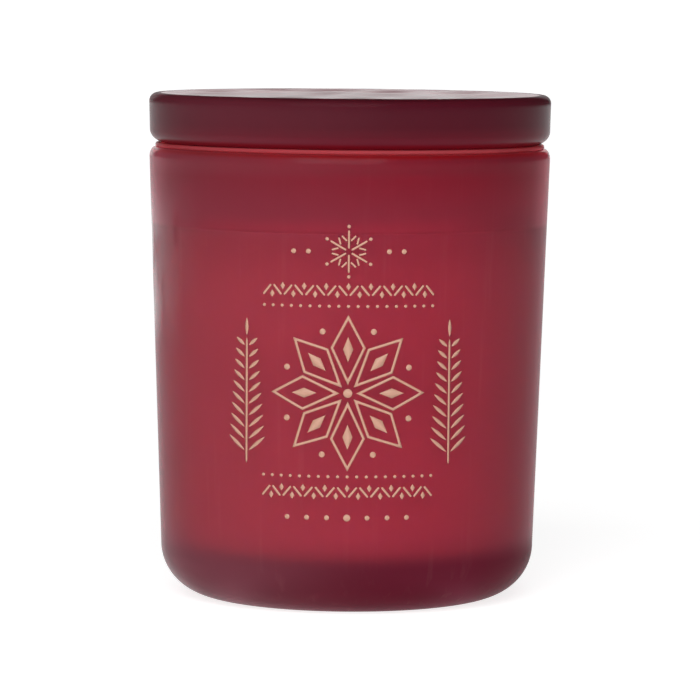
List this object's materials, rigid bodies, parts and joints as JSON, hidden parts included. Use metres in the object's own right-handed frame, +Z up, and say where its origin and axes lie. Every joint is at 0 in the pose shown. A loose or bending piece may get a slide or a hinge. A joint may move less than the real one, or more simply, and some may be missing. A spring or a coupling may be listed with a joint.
{
  "type": "lidded jar candle",
  "caption": "Scented candle in a tapered, frosted red glass jar with a rounded foot, closed by a thick glass lid on a clear seal ring.",
  "frame": {"origin": "middle of the jar's base, on the surface that it stands on", "axes": "+Z up along the jar's axis, -Y towards the printed front"},
  "size_m": [0.0822, 0.0822, 0.1029],
  "materials": {
    "jar_glass": "frosted, translucent red",
    "lid_glass": "frosted, dark red",
    "wax": "smooth cream wax",
    "seal": "clear, satin",
    "print": "satin gold-beige print"
  },
  "bodies": {
    "root": {"jar": "jar_glass", "wax": "wax", "seal": "seal", "lid": "lid_glass"}
  },
  "joints": []
}
